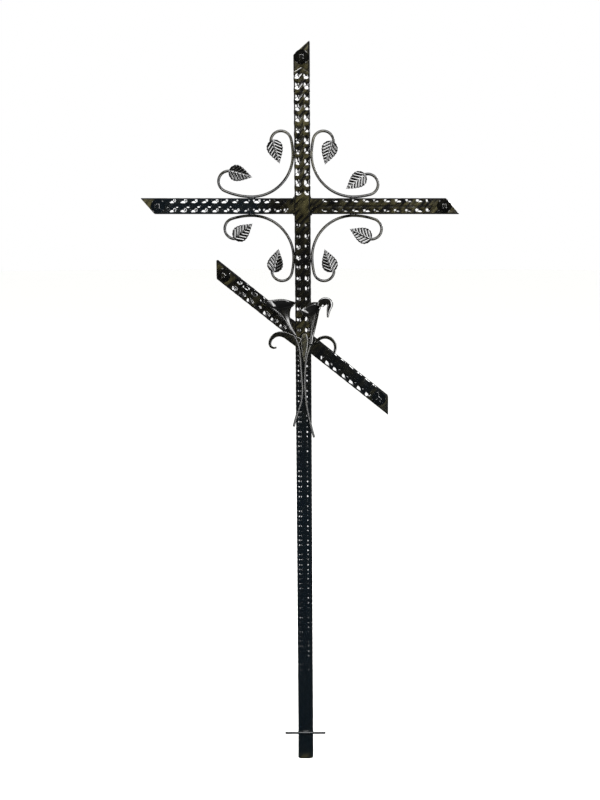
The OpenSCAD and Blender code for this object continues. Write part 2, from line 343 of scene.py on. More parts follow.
@dataclass(frozen=True)
class PatinaAndReflection:
    """Where the olive gold, the painted blue reflection and the dull places lie on the whole cross.
    """

    cross_z: float
    rest_z: float
    everywhere: float = 0.015
    in_hollows: float = 0.1  # share of the brushing that reaches the bottom of a dent
    # Going down the post, the heights at which the painted blue reflection starts and is full, and
    # the same for the loss of brushing, which leaves a share of it missing
    reflection_from: tuple[float, float] = (1250.0, 700.0)
    bare_from: tuple[float, float] = (1050.0, 800.0)
    bare: float = 0.75
    # Going out along the crossbar's left arm, where the painted blue reflection starts and is full,
    # how strong it is, and how far above and below the arm's middle it is gone and still full
    reflection_arm: tuple[float, float] = (-60.0, -140.0)
    reflection_arm_share: float = 0.8
    arm_half: tuple[float, float] = (30.0, 22.0)

    def zones(self) -> tuple[BrushedZone, ...]:
        """The brushed places, from the top of the cross to its foot."""
        c, r = self.cross_z, self.rest_z
        return (
            BrushedZone(0, c + 400, 30, 26, 0.3),
            BrushedZone(0, c + 215, 40, 190, 0.27),
            BrushedZone(0, c, 26, 26, 0.1),
            BrushedZone(-396, c, 22, 30, 0.3),
            BrushedZone(170, c, 110, 40, 0.12),
            BrushedZone(330, c, 90, 40, 0.2),
            BrushedZone(0, 4, 30, 9, 0.9),
            BrushedZone(0, r + 35, 30, 45, 0.14),
            BrushedZone(-205, r + 165, 25, 25, 0.3),
            BrushedZone(205, r - 165, 40, 40, 0.08),
            BrushedZone(-90, r + 75, 60, 50, 0.04),
        )

    def colours(
        self, points: np.ndarray, high: np.ndarray, extra: float, dull: float
    ) -> np.ndarray:
        """Colours of a piece's vertices.

        Args:
            points: Vertices in millimetres, one a row.
            high: How far each stands proud, from 0 in a hollow to 1 on a crest.
            extra: More brushing that this piece has all over.
            dull: How dull the piece is, 0 to 1.

        Returns:
            One row of red, green, blue and alpha for each vertex.
        """
        brushed = np.full(len(points), self.everywhere + extra)
        for zone in self.zones():
            brushed += zone.amount(points)
        brushed *= self.in_hollows + (1.0 - self.in_hollows) * high**1.5
        x, z = points[:, 0], points[:, 2]
        # Painted reflection: a cool blue cast down the post and out along the left arm, mixed into
        # the ground colour
        on_arm = smooth(*self.reflection_arm, x) * smooth(*self.arm_half, np.abs(z - self.cross_z))
        blue_reflection = smooth(*self.reflection_from, z) + self.reflection_arm_share * on_arm
        brushed *= 1.0 - self.bare * smooth(*self.bare_from, z)
        colours = np.ones((len(points), 4))
        colours[:, 0] = np.clip(brushed, 0.0, 1.0)
        colours[:, 1] = np.clip(blue_reflection, 0.0, 1.0)
        colours[:, 2] = dull
        return colours


# ---------------------------------------------------------------- making pieces


@dataclass
class Shop:
    """The bench where each piece is made up, dressed and fixed to the cross."""

    patina: PatinaAndReflection
    finishes: dict[Slot, bpy.types.Material] = field(init=False)
    shade_finish: bpy.types.Material = field(init=False)

    def __post_init__(self) -> None:
        """Mix one finish for each slot, and the dull black that paints shade into linings and
        corners.
        """
        self.finishes = {slot: finish.make() for slot, finish in FINISHES.items()}
        self.shade_finish = PAINTED_SHADE.make()

    def piece(
        self,
        name: str,
        points: np.ndarray,
        faces: list,
        slot: Slot,
        replaced: str | None = None,
        high: np.ndarray | None = None,
        extra: float = 0.0,
        flat_over: float = 40.0,
        dull: float = 0.0,
        shaded_faces: np.ndarray | None = None,
    ) -> bpy.types.Object:
        """Make one piece from its mesh, dress it and fix it to the cross.

        Args:
            name: Name of the piece.
            points: Vertices in millimetres, one a row.
            faces: Vertex numbers of each face.
            slot: Slot that gives the finish.
            replaced: CAD node that the piece stands for, if any.
            high: How far each vertex stands proud, 0 to 1.
            extra: More brushing all over the piece.
            flat_over: Angle between faces, in degrees, above which their edge stays sharp.
            dull: How dull the piece is, 0 to 1.
            shaded_faces: Whether each face, from the first one on, takes the dull black finish that
                paints shade.

        Returns:
            The finished piece.
        """
        mesh = bpy.data.meshes.new(name)
        mesh.from_pydata((points * MM).tolist(), [], faces)
        work = bmesh.new()
        work.from_mesh(mesh)
        bmesh.ops.recalc_face_normals(work, faces=work.faces)
        work.to_mesh(mesh)
        work.free()
        mesh.shade_smooth()
        mesh.set_sharp_from_angle(angle=math.radians(flat_over))
        if high is None:
            high = np.full(len(points), 0.8)
        layer = mesh.color_attributes.new(name=PATINA, type="FLOAT_COLOR", domain="POINT")
        colours = self.patina.colours(points, high, extra, dull)
        layer.data.foreach_set("color", colours.ravel())
        made = bpy.data.objects.new(name, mesh)
        bpy.context.scene.collection.objects.link(made)
        mesh.materials.append(self.finishes[slot])
        # Faces in painted shade take the dull black as a second material
        if shaded_faces is not None:
            mesh.materials.append(self.shade_finish)
            for face in np.flatnonzero(shaded_faces):
                mesh.polygons[int(face)].material_index = 1
        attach(made, BODY)
        if replaced:
            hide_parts(replaced)
        LOG.info("%s: %d vertices, %d faces", name, len(points), len(faces))
        return made


def tube_faces(rings: int, around: int, looped: bool = False) -> list:
    """Faces of a skin over a stack of rings.

    Args:
        rings: Number of rings.
        around: Points in each ring.
        looped: Whether the last ring joins the first; if not, both are capped.

    Returns:
        Vertex numbers of each face.
    """
    faces = []
    for j in range(rings if looped else rings - 1):
        one, two = j * around, (j + 1) % rings * around
        for k in range(around):
            after = (k + 1) % around
            faces.append((one + k, two + k, two + after, one + after))
    if not looped:
        faces.append(tuple(range(around)))
        faces.append(tuple((rings - 1) * around + k for k in reversed(range(around))))
    return faces


def sheet_faces(rows: int, columns: int) -> list:
    """Faces of an open grid of points, row by row."""
    corners = (0, 1, columns + 1, columns)
    starts = (j * columns + k for j in range(rows - 1) for k in range(columns - 1))
    return [tuple(start + corner for corner in corners) for start in starts]


# ---------------------------------------------------------------- bars


@dataclass(frozen=True)
class DentRow:
    """One row of dents along a face, in millimetres from the face's middle."""

    at: float  # where its deepest line lies
    inner: float  # width of the slope towards the middle
    outer: float  # width of the slope towards the tube's edge
    share: float = 1.0  # its depth, as a share of the pattern's


@dataclass(frozen=True)
class RollPattern:
    """The dents that the rolls pressed into the tube, in millimetres."""

    pitch: float = 26.6
    low_row: DentRow = DentRow(8.0, 3.0, 8.5)  # below or left of the face's middle
    high_row: DentRow = DentRow(15.0, 8.0, 4.5)
    dent_round: float = 1.25  # 1 for a dent with straight slopes, 2 for a bowl
    dent_half: float = 10.4
    dent_deep: float = 2.2
    dash_half: tuple[float, float] = (8.0, 4.2)  # along and across
    dash_deep: float = 0.0  # a short mark on the middle line, between two dents
    crease_deep: float = 0.0  # a straight groove along the middle
    crease_half: float = 3.0
    twist_deep: float = 0.25  # slanting waves along the middle, left by the rolls' twist
    twist_at: float = -3.0
    twist_half: tuple[float, float] = (5.0, 9.0)  # where it starts to fade and is gone
    twist_lead: float = 22.0  # distance across the face in which a wave shifts by one pitch
    scallop_deep: float = 0.5
    varied: tuple[float, float] = (0.72, 1.18)  # least and greatest share of the full depth
    tilted: tuple[float, float] = (-0.14, 0.14)
    shifted: tuple[float, float] = (-1.6, 1.6)
    seed: int = 11
    marks: int = 512  # marks before the rolls' unevenness repeats

    def chance(self, number: np.ndarray, side: np.ndarray, place: np.ndarray | int) -> np.ndarray:
        """Which of the marks' chance values each point takes.

        Args:
            number: Number of the mark along the bar.
            side: Number of the face that each point is on.
            place: The mark's place on its face.

        Returns:
            An index from 0 up to the number of marks.
        """
        return (number.astype(int) * 8 + side * 2 + place) % self.marks

    def depth(self, s: np.ndarray, u: np.ndarray, side: np.ndarray, half: float) -> np.ndarray:
        """How deep the rolls pressed each point.

        Args:
            s: Distance along the bar from the pattern's start.
            u: Distance across the face from its middle.
            side: Number of the face that each point is on.
            half: Half the bar's width.

        Returns:
            The depth at each point.
        """
        draw = np.random.RandomState(self.seed)
        varied = draw.uniform(*self.varied, self.marks)
        tilted = draw.uniform(*self.tilted, self.marks)
        shifted = draw.uniform(*self.shifted, self.marks)

        number = np.round(s / self.pitch)
        row = (u > 0).astype(int)
        pick = self.chance(number, side, row)
        ds = s - number * self.pitch + shifted[pick]
        rows = zip(astuple(self.high_row), astuple(self.low_row))
        at, inner, outer, share = (np.where(row, high, low) for high, low in rows)
        across = np.abs(u) - at + tilted[pick] * ds
        across = np.abs(across / np.where(across > 0, outer, inner))
        r = (across**4 + np.abs(ds / self.dent_half) ** 4) ** 0.25
        bowl = np.clip(1.0 - r**self.dent_round, 0.0, 1.0)
        dents = self.dent_deep * share * varied[pick] * bowl

        number = np.round(s / self.pitch - 0.5)
        pick = self.chance(number, side, 5)
        ds = s - (number + 0.5) * self.pitch + shifted[pick]
        half_long, half_wide = self.dash_half
        r2 = (ds / half_long) ** 2 + ((u + 4 * tilted[pick]) / half_wide) ** 2
        dashes = self.dash_deep * varied[pick] * np.clip(1.0 - np.sqrt(r2), 0.0, 1.0)

        turns = s / self.pitch
        twist = self.twist_deep * (1.0 + np.sin(2 * np.pi * (turns - u / self.twist_lead)))
        twist = twist * (1.0 - smooth(*self.twist_half, np.abs(u - self.twist_at)))
        edge = smooth(half - 5.0, half - 0.5, np.abs(u))
        scallop = self.scallop_deep * edge * (0.5 + 0.5 * np.cos(2 * np.pi * turns))
        crease = self.crease_deep * np.clip(1.0 - np.abs(u) / self.crease_half, 0.0, 1.0)
        return dents + dashes + twist + scallop + crease


@dataclass
class RolledBar:
    """One length of square tube, rolled with dents, cut at both ends and closed.

    Its section has `across` to the bar's own right or top and FRONT towards the viewer.
    """

    FRONT: ClassVar = Vector((0, -1, 0))
    FLAT_POINTS: ClassVar = 18  # points across each flat face of the section
    CORNER_POINTS: ClassVar = 2  # points round each corner

    node: str
    origin: Vector
    along: Vector
    across: Vector
    width: float
    near: tuple[Vector, Vector]  # a point on the near cut and the cut's normal
    far: tuple[Vector, Vector]
    pattern_from: float
    pattern_to: float
    phase: float = 0.0
    plain: tuple[tuple[float, float], ...] = ()  # stretches between rolled ones, left plain
    chevrons: tuple[tuple[float, float], ...] = ()  # place and direction of each start line
    edge_r: float = 3.0
    bevel: tuple[float, float] = (0.8, 0.8)
    bevel_over: float = 0.004  # share of the length over which the bevel runs out
    step: float = 2.1
    pressed: float = 1.0
    fade_mm: float = 7.0  # length over which the pattern comes up at its ends
    plain_fade: float = 6.0
    fade_slant: float = 0.55  # how far the pattern's end runs back towards the face's edges
    chevron_slant: float = 0.62
    chevron_deep: float = 0.5
    chevron_half: float = 1.8
    proud_over: float = 0.9  # depth at which the patina brush no longer reaches the metal
    rolls: tuple[tuple[float, RollPattern], ...] = ((0.0, RollPattern()),)  # from each place on

    def section(self) -> tuple[np.ndarray, ...]:
        """Section points, inward normals, distances from the face's middle and face numbers."""
        half, flat = self.width / 2, self.width / 2 - self.edge_r
        rows = []
        for side in range(4):
            a = math.pi / 2 * side
            n, t = np.array([math.cos(a), math.sin(a)]), np.array([-math.sin(a), math.cos(a)])
            for i in range(self.FLAT_POINTS):
                u = -flat + 2 * flat * i / (self.FLAT_POINTS - 1)
                rows.append((n * half + t * u, -n, -u, side))
            for j in range(1, self.CORNER_POINTS + 1):
                turn = a + math.pi / 2 * j / (self.CORNER_POINTS + 1)
                out = np.array([math.cos(turn), math.sin(turn)])
                rows.append(((n + t) * flat + out * self.edge_r, -out, half, side))
        return tuple(np.array([r[i] for r in rows]) for i in range(4))

    def cut(self, plane: tuple[Vector, Vector], section: np.ndarray) -> np.ndarray:
        """Distance along the bar at which each line of the section meets a cut."""
        point, normal = plane
        start = np.array(self.origin) + np.outer(section[:, 0], self.across)
        start = start + np.outer(section[:, 1], self.FRONT)
        return (np.array(point) - start) @ np.array(normal) / self.along.dot(normal)

    def depth(self, s: np.ndarray, u: np.ndarray, side: np.ndarray) -> np.ndarray:
        """How deep each point is pressed.

        Args:
            s: Distance along the bar.
            u: Distance across the face from its middle.
            side: Number of the face.

        Returns:
            The depth at each point.
        """
        half = self.width / 2
        slant = self.fade_slant * np.abs(u)
        fade = smooth(0.0, self.fade_mm, s - (self.pattern_from + slant))
        fade = fade * smooth(0.0, self.fade_mm, self.pattern_to - slant - s)
        for low, high in self.plain:
            within = smooth(low - self.plain_fade, low, s) * smooth(high + self.plain_fade, high, s)
            fade = fade * (1.0 - within)
        depth = np.zeros_like(s)
        for begin, rolls in self.rolls:
            pressed = rolls.depth(s - self.phase, u, side, half)
            depth = np.where(s < begin, depth, fade * self.pressed * pressed)
        for at, way in self.chevrons:
            line = (s - (at + way * self.chevron_slant * np.abs(u))) / self.chevron_half
            depth = depth + self.chevron_deep * np.exp(-(line**2)) * (np.abs(u) < half - 2)
        return depth

    def rings(self) -> tuple[np.ndarray, np.ndarray]:
        """The bar's rings of points in millimetres, and how proud each point stands."""
        section, inward, u, side = self.section()
        s0, s1 = self.cut(self.near, section), self.cut(self.far, section)
        count = int((s1 - s0).max() / self.step)
        share = np.linspace(0.0, 1.0, count + 1)[:, None]
        s = s0 + (s1 - s0) * share
        depth = self.depth(s, np.broadcast_to(u, s.shape), np.broadcast_to(side, s.shape))
        p = section[None] + inward[None] * depth[..., None]

        # The cut ends are eased by a small bevel, down to a slightly smaller end ring
        bevel_near, bevel_far = self.bevel
        s = s + bevel_near * (1 - smooth(0.0, self.bevel_over, share))
        s = s - bevel_far * (1 - smooth(0.0, self.bevel_over, 1 - share))
        small_near, small_far = (1 - 2 * bevel / self.width for bevel in self.bevel)
        first = self.cut(self.near, section * small_near)
        last = self.cut(self.far, section * small_far)
        s = np.concatenate([first[None], s, last[None]])
        p = np.concatenate([(p[0] * small_near)[None], p, (p[-1] * small_far)[None]])
        depth = np.concatenate([depth[:1], depth, depth[-1:]])
        points = (
            np.array(self.origin)
            + s[..., None] * np.array(self.along)
            + p[..., :1] * np.array(self.across)
            + p[..., 1:] * np.array(self.FRONT)
        )
        return points, np.clip(1.0 - depth / self.proud_over, 0.0, 1.0)

    def make(self, shop: Shop) -> None:
        """Roll the bar, close its ends and fix it in place."""
        points, high = self.rings()
        rings, around = points.shape[:2]
        # Painted shade: each corner takes the dull black finish, which keeps the tube's edges dark
        on_side = np.arange(around) % (self.FLAT_POINTS + self.CORNER_POINTS)
        at_corner = on_side >= self.FLAT_POINTS - 1
        shop.piece(
            f"{self.node}_rolled", points.reshape(-1, 3), tube_faces(rings, around), Slot.TUBE,
            self.node, high.ravel(), flat_over=38.0, shaded_faces=np.tile(at_corner, rings - 1),
        )


@dataclass
class BarWork:
    """Post, crossbar and footrest: five lengths of rolled square tube."""

    layout: Layout
    foot_bevel: float = 4.5
    mitre: float = 49.0  # degrees between a mitred end and the bar

    def make(self, shop: Shop) -> None:
        """Make the five bars from their boxes in the frame."""
        face, cross_z = self.layout.face, self.layout.cross_z
        top_z = box_mm("post")[1].z
        reach_left, reach_right = -box_mm("crossbar_left")[0].x, box_mm("crossbar_right")[1].x
        rest_low = box_mm("footrest_upper")[0].z
        run = 2 * face / math.tan(math.radians(self.mitre))
        up, x_way, flat = Vector((0, 0, 1)), Vector((1, 0, 0)), Vector((0, 0, 0))
        top = Vector((face, 0, top_z))
        RolledBar(
            "post", flat, up, x_way, 2 * face,
            (flat, up), (top, Vector((-run, 0, 2 * face)).normalized()),
            235.0, top_z - 72.0, phase=6.0,
            plain=((cross_z - 27, cross_z + 27),),
            chevrons=((top_z - 63.0, -1),),
            bevel=(self.foot_bevel, 0.8),
            rolls=(
                (0.0, RollPattern(
                    pitch=13.3, low_row=DentRow(9.0, 2.5, 6.8), high_row=DentRow(13.5, 6.0, 4.0),
                    dent_half=5.0, dent_deep=1.5, twist_deep=0.2,
                )),
                (rest_low - 20, RollPattern(
                    low_row=DentRow(9.5, 3.0, 8.0), high_row=DentRow(13.0, 7.5, 4.5), dent_half=8.0,
                    dent_deep=2.0, twist_deep=0.3,
                )),
                (cross_z, RollPattern(
                    low_row=DentRow(10.2, 3.5, 8.0), high_row=DentRow(14.5, 10.0, 4.0),
                    dent_half=10.5, dent_deep=2.35, twist_deep=0.5,
                )),
            ),
        ).make(shop)
        tip = Vector((-reach_left, 0, cross_z + face))
        RolledBar(
            "crossbar_left", Vector((0, 0, cross_z)), -x_way, up, 2 * face,
            (Vector((-face, 0, 0)), x_way), (tip, Vector((2 * face, 0, run)).normalized()),
            30.0, reach_left - 62.0, phase=10.0,
            chevrons=((reach_left - 60.0, -1),),
            bevel=(0.3, 0.8),
            rolls=((0.0, RollPattern()), (170.0, RollPattern(dash_deep=1.4))),
        ).make(shop)
        tip = Vector((reach_right, 0, cross_z - face))
        RolledBar(
            "crossbar_right", Vector((0, 0, cross_z)), x_way, up, 2 * face,
            (Vector((face, 0, 0)), x_way), (tip, Vector((2 * face, 0, run)).normalized()),
            40.0, reach_right - 66.0, phase=4.0,
            bevel=(0.3, 0.8),
            rolls=((0.0, RollPattern(
                low_row=DentRow(9.5, 3.0, 6.0), high_row=DentRow(15.5, 6.0, 3.5), dent_deep=1.7,
                crease_deep=0.8, twist_deep=0.15, seed=23,
            )),),
        ).make(shop)
        self.footrest(shop)

    def footrest(self, shop: Shop) -> None:
        """Make the two halves of the slanting footrest."""
        upper, face = box_mm("footrest_upper"), self.layout.face
        turn = math.radians(REST_SLOPE)
        width = upper[1].y - upper[0].y
        middle_y = (upper[0].y + upper[1].y) / 2
        reach = box_mm("footrest_lower")[1].x
        side = Vector((1, 0, 0))
        across = Vector((math.sin(turn), 0, math.cos(turn)))
        start = Vector((0, middle_y, self.layout.rest_z))
        for node, way in (("footrest_upper", -1), ("footrest_lower", 1)):
            along = Vector((math.cos(turn), 0, -math.sin(turn))) * way
            RolledBar(
                node, start, along, across, width,
                (Vector((face * way, 0, 0)), side), (Vector((reach * way, 0, 0)), side),
                36.0 if way < 0 else 60.0,
                reach / math.cos(turn) - (52.0 if way < 0 else 46.0),
                phase=7.0 if way < 0 else 13.0,
                bevel=(0.3, 0.8),
                pressed=0.9,
                rolls=((0.0, RollPattern(
                    low_row=DentRow(7.5, 3.0, 9.0),
                    high_row=DentRow(13.5, 8.0, 4.0, 1.0 if way < 0 else 0.22),
                    dent_deep=2.4, dent_round=1.8, scallop_deep=0.3,
                )),),
            ).make(shop)


# ---------------------------------------------------------------- studs


@dataclass
class Stud:
    """Forged stud: a round rim and a four-sided top drawn up to a soft point."""

    node: str
    turn: float = 0.0
    rim: float = 1.0
    top: float = 0.28  # half width of the flat top, as a share of the stud's radius
    waist: float = 0.98  # radius just above the rim, as a share of the stud's
    around: int = 72
    rings: int = 16

    def make(self, shop: Shop) -> None:
        """Forge the stud over its place on the bar."""
        low, high = box_mm(self.node)
        middle = (low + high) / 2
        radius = min(high.x - low.x, high.z - low.z) / 2
        rise = high.y - low.y
        turn = math.radians(self.turn)
        points, proud = [], []
        for j in range(self.rings + 1):
            share = j / self.rings
            for v in turns(self.around):
                if j < 2:
                    r, h = radius, j * (self.rim - 0.4)
                else:
                    r = radius * self.waist * (1.0 - (j - 1) / (self.rings - 1))
                    x, z = abs(r * math.cos(v)), abs(r * math.sin(v))
                    ridge = ((x**8 + z**8) ** (1 / 8)) / radius
                    h = self.rim + (rise - self.rim) * min(1.0, (1.0 - ridge) / (1.0 - self.top))
                x = middle.x + r * math.cos(v - turn)
                z = middle.z + r * math.sin(v - turn)
                points.append((x, high.y - h, z))
                proud.append(0.3 + 0.5 * share)
        shop.piece(
            f"{self.node}_forged", np.array(points), tube_faces(self.rings + 1, self.around),
            Slot.STUD, self.node, np.array(proud), flat_over=14.0,
        )


# ---------------------------------------------------------------- rods and blades


@dataclass(frozen=True)
class Route:
    """A rod's course in the cross's plane: a start and bends, each a length and a turn left."""

    start: tuple[float, float, float]
    bends: tuple[tuple[float, float], ...]

    @staticmethod
    def after(
        at: tuple[float, float, float], length: float, turn: float
    ) -> tuple[float, float, float]:
        """Place and heading after one bend.

        Args:
            at: x, z and heading in degrees before it.
            length: Length of the bend.
            turn: Degrees that it turns to the left.

        Returns:
            x, z and heading after it.
        """
        h0, h1 = math.radians(at[2]), math.radians(at[2] + turn)
        if abs(turn) < 1e-6:
            return (at[0] + length * math.cos(h0), at[1] + length * math.sin(h0), at[2])
        r = length / math.radians(turn)
        return (
            at[0] + r * (math.sin(h1) - math.sin(h0)),
            at[1] + r * (math.cos(h0) - math.cos(h1)),
            at[2] + turn,
        )

    def length(self) -> float:
        """Length of the whole route."""
        return sum(b[0] for b in self.bends)

    def at(self, s: float) -> tuple[float, float, float]:
        """Place and heading at a distance along the route."""
        place = self.start
        for i, (length, turn) in enumerate(self.bends):
            if s <= length or i == len(self.bends) - 1:
                return self.after(place, s, turn * s / length)
            place = self.after(place, length, turn)
            s -= length
        return place


@dataclass
class Bar:
    """A rod or blade swept along a route, with rounded ends and slight hammer marks."""

    name: str
    route: Route
    widths: tuple[float, ...]  # in the cross's plane, spaced evenly along the route
    thicknesses: tuple[float, ...]  # through it
    depth: float  # y of its middle
    slot: Slot
    replaced: str | None = None
    sides: int = 20
    step: float = 2.0
    end_round: float = 2.0
    hammered: float = 0.012
    mark: float = 9.0  # distance from one hammer mark to the next
    edge: float = 1.0  # 1 for a round section, less for a flat one with tight edges
    seed: float = 1.0
    extra: float = 0.04
    dull: float = 0.0
    mirror: tuple[float, float, float] = (1.0, 1.0, 0.0)  # x sign, z sign and z of the middle

    def make(self, shop: Shop) -> None:
        """Draw the rod out along its route and fix it in place."""
        length = self.route.length()
        count = max(8, int(length / self.step))
        # Place along the bar and share of the full section, with a few more rings at the ends
        tips = [(0.0, 0.55), (0.12, 0.8), (0.45, 0.95)]
        between = (i / count for i in range(1, count))
        places = (
            [(t * self.end_round / length, f) for t, f in tips]
            + [(q, 1.0) for q in between if self.end_round < q * length < length - self.end_round]
            + [(1 - t * self.end_round / length, f) for t, f in reversed(tips)]
        )
        points, proud = [], []
        stations = np.linspace(0.0, 1.0, len(self.widths))
        thick_at = np.linspace(0.0, 1.0, len(self.thicknesses))
        for q, factor in places:
            x, z, heading = self.route.at(q * length)
            h = math.radians(heading)
            w = float(np.interp(q, stations, self.widths)) / 2 * factor
            t = float(np.interp(q, thick_at, self.thicknesses)) / 2 * factor
            for v in turns(self.sides):
                spot = Vector((q * length / self.mark, math.cos(v), math.sin(v)))
                swell = 1.0 - self.hammered * (1.0 + noise.noise(spot + Vector((self.seed,) * 3)))
                out = math.copysign(t * abs(math.sin(v)) ** self.edge * swell, math.sin(v))
                side = w * math.cos(v) * swell
                px = (x - side * math.sin(h)) * self.mirror[0]
                pz = (z + side * math.cos(h)) * self.mirror[1] + self.mirror[2]
                points.append((px, self.depth - out, pz))
                proud.append(0.5 + 0.5 * math.sin(v))
        shop.piece(
            self.name, np.array(points), tube_faces(len(places), self.sides), self.slot,
            self.replaced, np.array(proud), extra=self.extra, flat_over=60.0, dull=self.dull,
        )


# ---------------------------------------------------------------- the four corners


@dataclass(frozen=True)
class Corner:
    """One quarter of the cross: its scroll's bends and its two leaves' swings, post then arm."""

    name: str
    side: int
    level: int
    shoulder_turns: tuple[float, float]
    curl_turns: tuple[float, float]
    swings: tuple[float, float]


CORNERS = (
    Corner("ul", -1, 1, (13, 24), (166, 165), (17, 15)),
    Corner("ur", 1, 1, (13, 15), (172, 186), (17, 37)),
    Corner("ll", -1, -1, (14, 18), (165, 165), (13, 39)),
    Corner("lr", 1, -1, (14, 19), (167, 168), (19, 25)),
)


@dataclass
class Scroll:
    """A corner's C-scroll of round rod, curled at both ends."""

    corner: Corner
    face: float
    cross_z: float
    rod: float = 7.0
    belly_r: float = 105.5
    shoulder_r: float = 168.0
    curl_r: float = 26.0
    gap: float = 0.2

    def belly_at(self) -> float:
        """Distance of the belly's middle from the crossing, both ways."""
        return self.face + self.gap + self.rod / 2 + self.belly_r

    def shoulder(self, turn: float) -> tuple[float, float]:
        """The slack bend between the belly and a curl."""
        return (math.radians(turn) * self.shoulder_r, -turn)

    def curl(self, turn: float) -> tuple[float, float]:
        """An end curl."""
        return (math.radians(turn) * self.curl_r, -turn)

    def end(self, at_arm: int) -> tuple[float, float, float]:
        """End of the rod beside the post (0) or the arm (1), seen from its own side."""
        start = (self.belly_at() - self.belly_r, self.belly_at(), 90.0)
        place = Route.after(start, *self.shoulder(self.corner.shoulder_turns[at_arm]))
        return Route.after(place, *self.curl(self.corner.curl_turns[at_arm]))

    def route(self) -> Route:
        """The whole scroll, from its end beside the arm to its end beside the post."""
        x, z, heading = self.end(1)
        c = self.corner
        return Route(
            (z, x, 90.0 - heading + 180.0),
            (
                self.curl(c.curl_turns[1]),
                self.shoulder(c.shoulder_turns[1]),
                (self.belly_r * math.pi / 2, -90.0),
                self.shoulder(c.shoulder_turns[0]),
                self.curl(c.curl_turns[0]),
            ),
        )

    def make(self, shop: Shop, seed: float) -> None:
        """Bend the scroll and fix it in its corner."""
        node = f"scroll_{self.corner.name}"
        Bar(
            f"{node}_bent", self.route(), (self.rod,) * 2, (self.rod,) * 2, 0.0, Slot.ROD, node,
            seed=seed, hammered=0.004, extra=0.06,
            mirror=(self.corner.side, self.corner.level, self.cross_z),
        ).make(shop)


@dataclass
class BirchLeaf:
    """A stamped sheet leaf: toothed edge, raised veins and a raised midrib."""

    node: str
    corner: Corner
    at_arm: int
    rod_end: tuple[float, float, float]
    cross_z: float
    length: float = 62.0
    width: float = 42.0
    sheet: float = 1.4
    fullness: float = 0.62  # under 1 puts the leaf's widest place nearer its stalk
    dish: float = 220.0  # radius across the leaf
    teeth: float = 8.4
    tooth_deep: float = 1.8
    tooth_rise: float = 0.8  # share of a tooth's length on its long side
    vein_pitch: float = 9.2
    vein_half: float = 2.3
    vein_high: float = 0.9
    midrib_half: float = 1.1
    vein_slant: float = 0.85  # how far a vein runs forward for each millimetre outward
    lap: float = 4.0
    aside: float = 4.0
    back: float = -3.7  # y of the back of the sheet, on the rod's front
    rows: int = 84
    columns: int = 37

    def local(self) -> tuple[np.ndarray, np.ndarray]:
        """The sheet's front along its own length (x), width (y) and height (z), and its crests."""
        t = np.linspace(0.0, 1.0, self.rows)[:, None]
        v = np.linspace(-1.0, 1.0, self.columns)[None, :]
        half = self.width / 2 * np.sin(np.pi * t**self.fullness)
        phase = (t * self.teeth) % 1.0
        rise = self.tooth_rise
        notch = np.where(phase < rise, 1 - phase / rise, (phase - rise) / (1 - rise))
        edge = smooth(0.6, 1.0, np.abs(v))
        half = np.maximum(half - self.tooth_deep * (1 - 0.5 * t) * notch * edge, 0.25)
        u = v * half
        x = self.length * t + 0.0 * v
        height = self.dish - np.sqrt(np.maximum(self.dish**2 - u**2, 0.0))
        q = (x - self.vein_slant * np.abs(u) - 3.0) / self.vein_pitch
        off = (q - np.round(q)) * self.vein_pitch
        vein = np.clip(1 - np.abs(off) / self.vein_half, 0.0, 1.0)
        vein = vein * smooth(0.3, 2.0, np.abs(u)) * (1 - smooth(0.8, 0.98, np.abs(v)))
        midrib = np.exp(-((u / self.midrib_half) ** 2)) * (1 - smooth(0.85, 1.0, t))
        height = height + self.vein_high * (vein * (1 - 0.3 * t) + midrib)
        high = np.clip(vein**2, 0.0, 1.0)
        return np.stack([x, u + 0 * x, height], -1), high

    def make(self, shop: Shop) -> None:
        """Stamp the leaf, swing it to its place and fix it on its rod."""
        points, high = self.local()
        heading = math.radians(self.rod_end[2])
        aside = self.aside if self.at_arm == 0 else 0.0
        bx = self.rod_end[0] - self.lap * math.cos(heading) - aside
        bz = self.rod_end[1] - self.lap * math.sin(heading)
        swing = math.radians(-90.0 - self.corner.swings[self.at_arm])
        lx, lu, lh = points[..., 0], points[..., 1], points[..., 2] + 0.1
        px = bx + lx * math.cos(swing) - lu * math.sin(swing)
        pz = bz + lx * math.sin(swing) + lu * math.cos(swing)
        if self.at_arm:
            px, pz = pz, px
        px, pz = px * self.corner.side, pz * self.corner.level + self.cross_z
        front = np.stack([px, self.back - self.sheet - lh, pz], -1).reshape(-1, 3)
        rear = front.copy()
        rear[:, 1] += self.sheet
        count = len(front)
        faces = sheet_faces(self.rows, self.columns)
        back_faces = [tuple(count + i for i in reversed(f)) for f in faces]
        loop = (
            list(range(self.columns))
            + [j * self.columns + self.columns - 1 for j in range(1, self.rows)]
            + [(self.rows - 1) * self.columns + k for k in reversed(range(self.columns - 1))]
            + [j * self.columns for j in reversed(range(1, self.rows - 1))]
        )
        pairs = zip(loop, loop[1:] + loop[:1])
        rim = [(one, two, count + two, count + one) for one, two in pairs]
        shop.piece(
            f"{self.node}_stamped", np.concatenate([front, rear]), faces + back_faces + rim,
            Slot.SHEET, self.node, np.concatenate([high.ravel(), 0.4 * high.ravel()]),
            extra=0.05, flat_over=50.0,
        )


